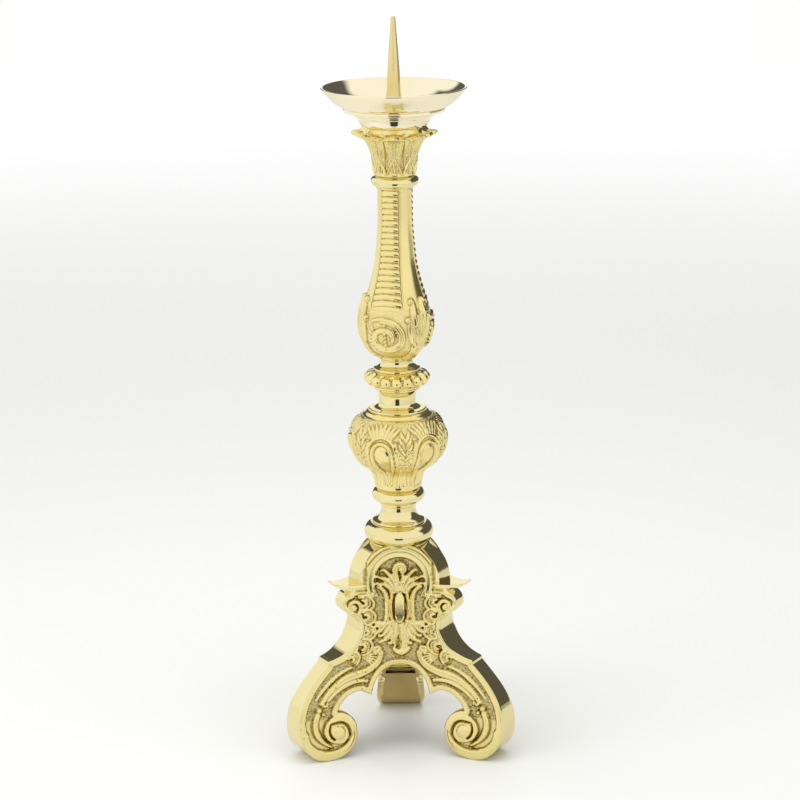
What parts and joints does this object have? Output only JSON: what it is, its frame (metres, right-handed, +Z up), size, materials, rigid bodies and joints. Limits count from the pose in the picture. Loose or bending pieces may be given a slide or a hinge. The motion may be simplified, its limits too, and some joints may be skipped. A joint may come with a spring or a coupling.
{
  "type": "altar candlestick",
  "caption": "Brass pricket candlestick: drip pan and spike on a turned baluster stem over a three-sided base with scrolled feet, held together by a central tie rod.",
  "frame": {"origin": "on the stem's axis, in the plane of the table that the feet stand on", "axes": "+Z up along the stem; -Y out through the middle of the front panel; +Y along the back leg"},
  "size_m": [0.1722, 0.1494, 0.55],
  "materials": {
    "polished_brass": "lacquered mirror polish on the turned rings, the pan and the bands",
    "chased_brass": "cast relief, satin with darker tooled recesses and bright high points",
    "plated_steel": "dull zinc plate on the rod and its hardware"
  },
  "bodies": {
    "root": {"pricket": "polished_brass", "drip_pan": "polished_brass", "pan_collar": "polished_brass", "capital": "chased_brass", "neck_ring": "polished_brass", "baluster_stem": "chased_brass", "upper_spool": "polished_brass", "gadroon_ring": "chased_brass", "lower_spool": "polished_brass", "vase_knop": "chased_brass", "vase_ring": "polished_brass", "foot_spool": "polished_brass", "torus_collar": "polished_brass", "base_boss": "polished_brass", "spider_plate": "plated_steel", "front_panel": "chased_brass", "left_panel": "chased_brass", "right_panel": "chased_brass", "left_leg": "polished_brass", "right_leg": "polished_brass", "back_leg": "polished_brass", "tie_rod": "plated_steel", "rod_washer": "plated_steel", "rod_nut": "plated_steel", "lock_nut": "plated_steel", "spider_screws": "plated_steel"}
  },
  "joints": []
}
